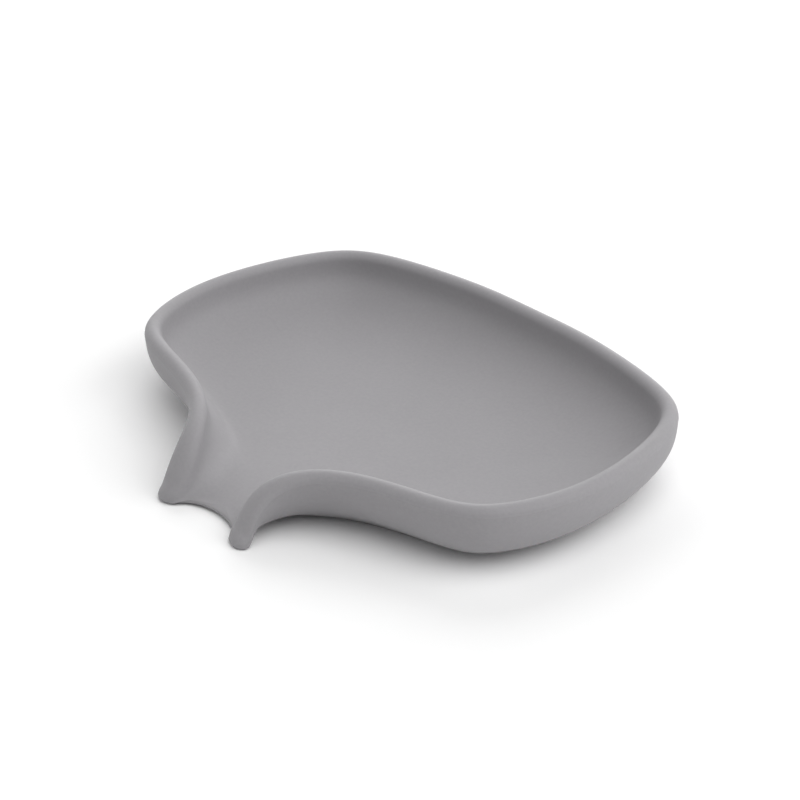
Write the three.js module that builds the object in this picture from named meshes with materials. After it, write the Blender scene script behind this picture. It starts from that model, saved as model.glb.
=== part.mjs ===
import * as THREE from 'three';
import { NURBSCurve } from 'three/addons/curves/NURBSCurve.js';
import { mergeVertices } from 'three/addons/utils/BufferGeometryUtils.js';

// A soap dish with a draining spout: one moulding of soft silicone rubber, shaped like a fan leaf.
// Millimetres, +Z up. The table is z = 0, the spout points along -Y and x = 0 is the middle line.
// The dish is drawn with y = 0 where the crest line ends, then centred over its own footprint.

// Rim
const rimHeight = 18.7;
const rimWidth = 4.4;

// Crest line of the rim: half widths from the middle line and distances along from the spout's tips.
// The line is pulled towards these places in turn, from the middle of the back to one tip.
const backHalf = 10.4;
const backAlong = 106.2;
const arcHalf = 19.3;
const arcAlong = 106.4;
const cornerHalf = 53;
const cornerAlong = 100.6;
const shoulderHalf = 63.9;
const shoulderAlong = 90.7;
const lobeHalf = 71.9;
const lobeAlong = 56.8;
const cheekHalf = 64.1;
const cheekAlong = 33.2;
const flankHalf = 54.3;
const flankAlong = 26.1;
const neckHalf = 20.6;
const neckAlong = 21.2;
const legHalf = 12.3;
const legAlong = 5.2;
const tipHalf = 13;

// Spout: its two sides fall to the tips, which end in round noses that rest on the table.
// A thin lip is set back between the tips and is held just clear of the table.
const neckHeight = 17.7;
const legHeight = 15.3;
const tipHeight = 4.1;
const tipWidth = 7.6;
const noseLength = 3;
const noseFall = 0.5;
const lipHalf = 7;
const lipSetBack = 4.6;
const lipHeight = 1.5;
const lipClearance = 0.75;
const lipLiftLength = 10;

// Bowl and underside: an inner wall that eases on to a level floor, a fuller outer wall down to the base.
const floorHeight = 3.8;
const floorFallLength = 18;
const bowlWallSpan = 48;
const spoutWallSpan = 24;
const tipWallSpan = 1.6;
const bowlWallFullness = 2.5;
const bowlFootFullness = 3;
const outerWallTuck = 22;
const outerWallFullness = 2.4;
const tipWallFullness = 8;

// Sections run square to the rim, then bend to meet the middle line square to it.
const backMeetAlong = 54;
const meetDelay = 1.4;
const sectionLead = 14;
const leadShare = 0.45;
const spoutLeadShare = 0.3;
const easeShare = 0.35;
const spoutEaseShare = 0.6;
const rimShare = 0.55;
const wallShare = 0.92;

// Shares of the crest line, from the back to the tip, between which the sections change into the spout's.
const spoutStart = 0.75;
const narrowingStart = 0.5;
const wideningStart = 0.85;
const uprightStart = 0.96;

// Mesh density
const stations = 56;
const rimSteps = 4;
const wallSteps = 8;
const floorSteps = 4;
const noseSteps = 4;

const { clamp, lerp, smoothstep } = THREE.MathUtils;
const quarterTurn = Math.PI / 2;
const rimRadius = rimWidth / 2;
const tipRadius = tipWidth / 2;
const tipWallTuck = tipWallSpan + tipWidth;

// The crest line is a cubic spline that starts square to the middle line and ends on the tip.
const crestPulls = [
  new THREE.Vector3(0, backAlong, rimHeight),
  new THREE.Vector3(backHalf, backAlong, rimHeight),
  new THREE.Vector3(arcHalf, arcAlong, rimHeight),
  new THREE.Vector3(cornerHalf, cornerAlong, rimHeight),
  new THREE.Vector3(shoulderHalf, shoulderAlong, rimHeight),
  new THREE.Vector3(lobeHalf, lobeAlong, rimHeight),
  new THREE.Vector3(cheekHalf, cheekAlong, rimHeight),
  new THREE.Vector3(flankHalf, flankAlong, rimHeight),
  new THREE.Vector3(neckHalf, neckAlong, neckHeight),
  new THREE.Vector3(legHalf, legAlong, legHeight),
  new THREE.Vector3(tipHalf, 0, tipHeight),
];
const crestDegree = 3;
const crestSpans = crestPulls.length - crestDegree;
const crestKnots = [];
for (let k = -crestDegree; k <= crestSpans + crestDegree; k += 1) {
  crestKnots.push(Math.min(Math.max(k, 0), crestSpans));
}
const crest = new NURBSCurve(crestDegree, crestKnots, crestPulls);

// Height of the bowl's floor: level, then falling ever faster to the lip.
function floorAt(place) {
  const fall = clamp(1 - (place.y - lipSetBack) / floorFallLength, 0, 1);
  return lerp(floorHeight, lipHeight, fall ** 2);
}

// Height of the underside: flat on the table, lifting a little under the lip between the tips.
function undersideAt(place) {
  const behind = smoothstep(place.y, lipSetBack, lipSetBack + lipLiftLength);
  const beside = smoothstep(place.x, lipHalf, tipHalf);
  return lipClearance * (1 - behind) * (1 - beside);
}

// One section of the dish: where it leaves the crest line and the curve that it follows to the middle.
function sectionAt(share) {
  const top = crest.getPointAt(share);
  const travel = crest.getTangentAt(share);
  const start = new THREE.Vector2(top.x, top.y);
  const inward = new THREE.Vector2(travel.y, -travel.x).normalize();
  const meet = new THREE.Vector2(0, lerp(backMeetAlong, lipSetBack, share ** meetDelay));
  const spout = smoothstep(share, spoutStart, 1);
  const lead = Math.min(sectionLead, leadShare * start.distanceTo(meet)) * lerp(1, spoutLeadShare, spout);
  const turn = start.clone().addScaledVector(inward, lead);
  turn.x = Math.max(turn.x, 0);
  const ease = new THREE.Vector2(lerp(easeShare, spoutEaseShare, spout) * start.x, meet.y);
  const line = new THREE.CubicBezierCurve(start, turn, ease, meet);
  const radius = lerp(rimRadius, tipRadius, smoothstep(share, wideningStart, 1));
  const narrowing = smoothstep(share, narrowingStart, 1);
  const upright = smoothstep(share, uprightStart, 1);
  const bowlSide = {
    groundAt: floorAt,
    rimFoot: radius,
    wallSpan: lerp(lerp(bowlWallSpan, spoutWallSpan, narrowing), tipWallSpan, upright),
    wallFullness: bowlWallFullness,
    footFullness: bowlFootFullness,
  };
  const outerFullness = lerp(outerWallFullness, tipWallFullness, upright);
  const outerSide = {
    groundAt: undersideAt,
    rimFoot: -radius,
    wallSpan: lerp(outerWallTuck, tipWallTuck, upright),
    wallFullness: outerFullness,
    footFullness: outerFullness,
  };
  return { start, inward, line, length: line.getLength(), height: top.z, bowlSide, outerSide };
}

// A point of a section at a distance in from the crest line; a negative distance lies outside it.
function pointAt(section, inset, heightAt) {
  const place = inset > 0
    ? section.line.getPointAt(inset / section.length)
    : section.start.clone().addScaledVector(section.inward, inset);
  return new THREE.Vector3(place.x, place.y, heightAt(place));
}

// Points of one face of a section, from the crest line to the middle line: round rim, wall, then ground.
function faceRows(section, { groundAt, rimFoot, wallSpan, wallFullness, footFullness }) {
  const { height, length } = section;
  const reach = length - rimFoot;
  const span = Math.min(wallSpan, wallShare * reach);
  const rimGround = pointAt(section, rimFoot, groundAt).z;
  const rimDepth = Math.min(Math.abs(rimFoot), rimShare * (height - rimGround));
  const wallTop = height - rimDepth;
  const rows = [];
  for (let k = 0; k <= rimSteps; k += 1) {
    const angle = (k / rimSteps) * quarterTurn;
    const level = wallTop + rimDepth * Math.cos(angle);
    rows.push(pointAt(section, rimFoot * Math.sin(angle), () => level));
  }
  for (let k = 1; k <= wallSteps; k += 1) {
    const angle = (k / wallSteps) * quarterTurn;
    const across = 1 - Math.abs(Math.cos(angle)) ** (2 / footFullness);
    const down = Math.sin(angle) ** (2 / wallFullness);
    const levelAt = (place) => lerp(wallTop, Math.min(groundAt(place), wallTop), down);
    rows.push(pointAt(section, rimFoot + span * across, levelAt));
  }
  for (let k = 1; k <= floorSteps; k += 1) {
    const inset = k < floorSteps ? rimFoot + span + (reach - span) * (k / floorSteps) : length;
    rows.push(pointAt(section, inset, groundAt));
  }
  return rows;
}

// Sections from the back to the tip, then the round nose that closes each pair of faces ahead of it.
const sections = [];
for (let i = 0; i <= stations; i += 1) {
  const section = sectionAt(i / stations);
  const bowl = faceRows(section, section.bowlSide);
  const outside = faceRows(section, section.outerSide);
  sections.push({ bowl, outside });
}
const last = sections[stations];
for (let n = 1; n <= noseSteps; n += 1) {
  const angle = (n / noseSteps) * quarterTurn;
  const bowl = [];
  const outside = [];
  last.bowl.forEach((upper, k) => {
    const lower = last.outside[k];
    const middle = upper.clone().add(lower).multiplyScalar(0.5);
    const ahead = (upper.distanceTo(lower) / tipWidth) * Math.sin(angle);
    [[bowl, upper], [outside, lower]].forEach(([rows, end]) => {
      const place = end.clone().lerp(middle, 1 - Math.cos(angle));
      const level = place.z * (1 - noseFall * ahead);
      rows.push(new THREE.Vector3(place.x, place.y - noseLength * ahead, level));
    });
  });
  sections.push({ bowl, outside });
}

// The skin: both halves, each section joined to the next, welded along the middle line and the crest.
const rings = sections.map(({ bowl, outside }) => [...bowl].reverse().concat(outside.slice(1)));
const ringSize = rings[0].length;
const positions = [];
const triangles = [];
for (const side of [1, -1]) {
  const first = positions.length / 3;
  rings.flat().forEach((p) => positions.push(side * p.x, p.y, p.z));
  for (let i = 0; i + 1 < rings.length; i += 1) {
    for (let j = 0; j + 1 < ringSize; j += 1) {
      const a = first + i * ringSize + j;
      const b = a + 1;
      const c = b + ringSize;
      const d = a + ringSize;
      triangles.push(...(side > 0 ? [a, d, c, a, c, b] : [a, c, d, a, b, c]));
    }
  }
}
const loose = new THREE.BufferGeometry();
loose.setAttribute('position', new THREE.Float32BufferAttribute(positions, 3));
loose.setIndex(triangles);
const skin = mergeVertices(loose);

// Triangles that the welding closed to a line are left out.
const welded = skin.index.array;
const kept = [];
for (let t = 0; t < welded.length; t += 3) {
  const [a, b, c] = welded.slice(t, t + 3);
  if (a !== b && b !== c && c !== a) kept.push(a, b, c);
}
skin.setIndex(kept);
skin.computeVertexNormals();

const silicone = new THREE.MeshStandardMaterial({ color: '#9d9ca0', roughness: 0.62, metalness: 0 });
const dish = new THREE.Mesh(skin, silicone);
dish.name = 'dish';
skin.computeBoundingBox();
dish.position.y = -(skin.boundingBox.min.y + skin.boundingBox.max.y) / 2;

const soapDish = new THREE.Group();
soapDish.add(dish);

export default soapDish;
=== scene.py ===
import math

import bmesh
import bpy
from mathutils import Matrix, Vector


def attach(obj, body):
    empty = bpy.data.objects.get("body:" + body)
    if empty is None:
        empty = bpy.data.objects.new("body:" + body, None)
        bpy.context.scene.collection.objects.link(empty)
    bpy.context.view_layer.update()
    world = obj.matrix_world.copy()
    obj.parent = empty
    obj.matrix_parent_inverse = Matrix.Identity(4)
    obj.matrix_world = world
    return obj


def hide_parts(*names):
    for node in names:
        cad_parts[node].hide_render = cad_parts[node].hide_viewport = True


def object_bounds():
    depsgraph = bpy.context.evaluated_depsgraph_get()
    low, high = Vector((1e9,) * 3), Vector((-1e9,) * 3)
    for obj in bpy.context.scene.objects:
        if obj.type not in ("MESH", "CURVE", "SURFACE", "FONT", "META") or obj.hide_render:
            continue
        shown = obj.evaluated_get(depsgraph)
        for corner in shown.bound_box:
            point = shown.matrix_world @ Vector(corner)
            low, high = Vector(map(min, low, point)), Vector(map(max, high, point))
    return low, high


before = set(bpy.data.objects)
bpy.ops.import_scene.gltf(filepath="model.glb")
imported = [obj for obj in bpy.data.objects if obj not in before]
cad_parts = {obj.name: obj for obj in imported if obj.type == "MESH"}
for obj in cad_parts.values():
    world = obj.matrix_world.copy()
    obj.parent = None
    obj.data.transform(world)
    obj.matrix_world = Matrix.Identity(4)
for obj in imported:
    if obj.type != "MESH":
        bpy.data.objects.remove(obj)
cad_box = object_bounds()

# Dish: one moulding of soft silicone rubber, cast in a mould of two halves and pulled out whole.
# Its bowl, full-round rim, forked spout and base are one skin with a fine matt grain. The halves of
# the mould left a faint bead along the widest line of the rim, which is the only seam on it.
weld_gap = 1e-6
bead_half_width = 0.00018
bead_height = 0.0001
rounding_levels = 2

skin = bmesh.new()
skin.from_mesh(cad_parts["dish"].data)
bmesh.ops.remove_doubles(skin, verts=skin.verts, dist=weld_gap)
bmesh.ops.join_triangles(
    skin,
    faces=skin.faces,
    angle_face_threshold=math.pi,
    angle_shape_threshold=math.pi,
)

# The mould parts where the skin turns from facing up to facing down.
skin.normal_update()
parting = []
for edge in skin.edges:
    one_side, other_side = edge.link_faces
    if one_side.normal.z * other_side.normal.z < 0:
        parting.append(edge)
bead = bmesh.ops.bevel(
    skin,
    geom=parting,
    offset=bead_half_width,
    offset_type="OFFSET",
    affect="EDGES",
    segments=2,
    profile=0.5,
    material=-1,
)

# The bead's crest keeps to the dish's widest line, and its two feet are sunk beside it.
skin.normal_update()
bead_faces = set(bead["faces"])
feet = [vert for vert in bead["verts"] if not bead_faces.issuperset(vert.link_faces)]
for vert in feet:
    vert.co -= bead_height * vert.normal

dish_mesh = bpy.data.meshes.new("dish_skin")
skin.to_mesh(dish_mesh)
skin.free()
dish_mesh.polygons.foreach_set("use_smooth", [True] * len(dish_mesh.polygons))
dish = bpy.data.objects.new("dish_skin", dish_mesh)
bpy.context.scene.collection.objects.link(dish)
rounding = dish.modifiers.new("rounding", "SUBSURF")
rounding.levels = rounding_levels
rounding.render_levels = rounding_levels

silicone = bpy.data.materials.new("grey_silicone")
silicone.use_nodes = True
nodes = silicone.node_tree.nodes
links = silicone.node_tree.links
rubber = nodes["Principled BSDF"]
rubber.inputs["Specular IOR Level"].default_value = 0.3
rubber.inputs["Sheen Weight"].default_value = 0.04
rubber.inputs["Sheen Roughness"].default_value = 0.5
place = nodes.new("ShaderNodeTexCoord")


def mottling(scale, detail):
    noise = nodes.new("ShaderNodeTexNoise")
    noise.inputs["Scale"].default_value = scale
    noise.inputs["Detail"].default_value = detail
    links.new(place.outputs["Object"], noise.inputs["Vector"])
    return noise.outputs["Fac"]


def graded(value, lowest, highest, at_lowest, at_highest, easing="LINEAR"):
    grade = nodes.new("ShaderNodeMapRange")
    grade.interpolation_type = easing
    grade.inputs["From Min"].default_value = lowest
    grade.inputs["From Max"].default_value = highest
    grade.inputs["To Min"].default_value = at_lowest
    grade.inputs["To Max"].default_value = at_highest
    links.new(value, grade.inputs["Value"])
    return grade.outputs["Result"]


def relief(height, strength, distance):
    bump = nodes.new("ShaderNodeBump")
    bump.inputs["Strength"].default_value = strength
    bump.inputs["Distance"].default_value = distance
    links.new(height, bump.inputs["Height"])
    return bump


# The pigment is stirred in before curing, so the grey drifts a little over a few centimetres.
darker_grey = (0.297, 0.290, 0.301, 1.0)
paler_grey = (0.312, 0.304, 0.316, 1.0)

pigment = nodes.new("ShaderNodeValToRGB")
darker, paler = pigment.color_ramp.elements
darker.position = 0.3
darker.color = darker_grey
paler.position = 0.7
paler.color = paler_grey
links.new(mottling(scale=18, detail=3), pigment.inputs["Fac"])

# Grains of pigment and fine dust make a speckle under a millimetre across.
specks = mottling(scale=1200, detail=2)
speckle = graded(specks, lowest=0.25, highest=0.75, at_lowest=0.97, at_highest=1.03)
grey = nodes.new("ShaderNodeVectorMath")
grey.operation = "SCALE"
links.new(pigment.outputs["Color"], grey.inputs[0])
links.new(speckle, grey.inputs["Scale"])
links.new(grey.outputs["Vector"], rubber.inputs["Base Color"])

# Fingers keep the rim a little smoother than the bowl, and the shine is uneven everywhere.
rim_top = cad_box[1][2]
handled_depth = 0.0057
rubbed_depth = 0.0002
handling = 0.03

height = nodes.new("ShaderNodeSeparateXYZ")
links.new(place.outputs["Object"], height.inputs["Vector"])
handled = graded(
    height.outputs["Z"],
    lowest=rim_top - handled_depth,
    highest=rim_top - rubbed_depth,
    at_lowest=handling,
    at_highest=-handling,
    easing="SMOOTHSTEP",
)
patches = mottling(scale=70, detail=4)
shine = graded(patches, lowest=0.3, highest=0.7, at_lowest=0.62, at_highest=0.70)
roughness = nodes.new("ShaderNodeMath")
roughness.operation = "ADD"
links.new(shine, roughness.inputs[0])
links.new(handled, roughness.inputs[1])
links.new(roughness.outputs["Value"], rubber.inputs["Roughness"])

# The mould's blasted face leaves a fine grain, over faint waves where the rubber shrank.
waves = relief(mottling(scale=80, detail=1), strength=0.4, distance=0.0002)
grain = relief(mottling(scale=3500, detail=3), strength=0.25, distance=0.00004)
links.new(waves.outputs["Normal"], grain.inputs["Normal"])
links.new(grain.outputs["Normal"], rubber.inputs["Normal"])
dish_mesh.materials.append(silicone)

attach(dish, "root")
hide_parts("dish")

# Table: a smooth matt white top, far wider than the dish, that takes its soft shadow.
# It is a sheet of painted board, lying just under the dish's base.
table_size = 4.0
table_gap = 0.00002
table_white = (1.0, 1.0, 1.0, 1.0)

top = bmesh.new()
bmesh.ops.create_grid(top, x_segments=1, y_segments=1, size=table_size / 2)
bmesh.ops.translate(top, verts=top.verts, vec=(0, 0, -table_gap))
table_mesh = bpy.data.meshes.new("table_top")
top.to_mesh(table_mesh)
top.free()
table = bpy.data.objects.new("table_top", table_mesh)
bpy.context.scene.collection.objects.link(table)

white = bpy.data.materials.new("white_table")
white.use_nodes = True
paint = white.node_tree.nodes["Principled BSDF"]
paint.inputs["Base Color"].default_value = table_white
paint.inputs["Roughness"].default_value = 1.0
paint.inputs["Specular IOR Level"].default_value = 0.0
table_mesh.materials.append(white)

# Light: a pale room with four wide soft boards, one high above and three low around the dish.
# The room itself lights the dish a little. Where it is seen, mirrored or seen through, it is white.
room_white = (1.0, 1.0, 1.0, 1.0)
room_level = 0.21
seen_level = 1.0

room = bpy.data.worlds.new("pale_room")
bpy.context.scene.world = room
room.use_nodes = True
room_nodes = room.node_tree.nodes
room_links = room.node_tree.links
ambient = room_nodes["Background"]
ambient.inputs["Color"].default_value = room_white
ambient.inputs["Strength"].default_value = room_level
seen = room_nodes.new("ShaderNodeBackground")
seen.inputs["Color"].default_value = room_white
seen.inputs["Strength"].default_value = seen_level
ray = room_nodes.new("ShaderNodeLightPath")
seen_or_glossy = room_nodes.new("ShaderNodeMath")
seen_or_glossy.operation = "MAXIMUM"
room_links.new(ray.outputs["Is Camera Ray"], seen_or_glossy.inputs[0])
room_links.new(ray.outputs["Is Glossy Ray"], seen_or_glossy.inputs[1])
looked_at = room_nodes.new("ShaderNodeMath")
looked_at.operation = "MAXIMUM"
room_links.new(seen_or_glossy.outputs["Value"], looked_at.inputs[0])
room_links.new(ray.outputs["Is Transmission Ray"], looked_at.inputs[1])
room_light = room_nodes.new("ShaderNodeMixShader")
room_links.new(looked_at.outputs["Value"], room_light.inputs["Fac"])
room_links.new(ambient.outputs["Background"], room_light.inputs[1])
room_links.new(seen.outputs["Background"], room_light.inputs[2])
room_links.new(room_light.outputs["Shader"], room_nodes["World Output"].inputs["Surface"])

# Each board has its turn from +X towards +Y and its rise from the table, both in degrees, then its
# strength, which is the brightness that it alone gives a white card facing it.
board_spread = math.radians(60)
boards = {
    "board_above": (0, 65, 0.46),
    "board_behind": (135, 25, 0.51),
    "board_right": (45, 25, 0.39),
    "board_left": (225, 25, 0.17),
}


def way_to(turn, rise):
    level = math.cos(math.radians(rise))
    return Vector((
        level * math.cos(math.radians(turn)),
        level * math.sin(math.radians(turn)),
        math.sin(math.radians(rise)),
    ))


def face_dish(thing, way):
    thing.rotation_euler = (-way).to_track_quat("-Z", "Y").to_euler()


for name, (turn, rise, strength) in boards.items():
    lamp_data = bpy.data.lights.new(name, "SUN")
    lamp_data.energy = strength * math.pi
    lamp_data.angle = board_spread
    lamp = bpy.data.objects.new(name, lamp_data)
    bpy.context.scene.collection.objects.link(lamp)
    face_dish(lamp, way_to(turn, rise))

# Camera: looks down at the dish from the spout's right, as the photograph does.
# It is aimed at a place set off from the middle of the back of the rim. Its turn and rise are
# counted in degrees as the boards' are.
aim_side = -0.00022
aim_from_back = 0.047345
aim_height = 0.008
view_distance = 0.62
view_turn = -40.91
view_rise = 28.99
view_roll = math.radians(-0.86)
nearest_seen = 0.01
sensor_width = 36
focal_pixels = 2533.5
image_width = 800
right_shift_pixels = 0.85
up_shift_pixels = 5.59

camera_data = bpy.data.cameras.new("camera")
camera = bpy.data.objects.new("camera", camera_data)
bpy.context.scene.collection.objects.link(camera)
view_target = Vector((aim_side, cad_box[1][1] - aim_from_back, aim_height))
way_to_camera = way_to(view_turn, view_rise)
camera.location = view_target + view_distance * way_to_camera
face_dish(camera, way_to_camera)
camera.rotation_euler.rotate_axis("Z", view_roll)
camera_data.sensor_width = sensor_width
camera_data.lens = sensor_width * focal_pixels / image_width
camera_data.shift_x = right_shift_pixels / image_width
camera_data.shift_y = up_shift_pixels / image_width
camera_data.clip_start = nearest_seen
bpy.context.scene.camera = camera
bpy.context.scene.view_settings.view_transform = "Standard"
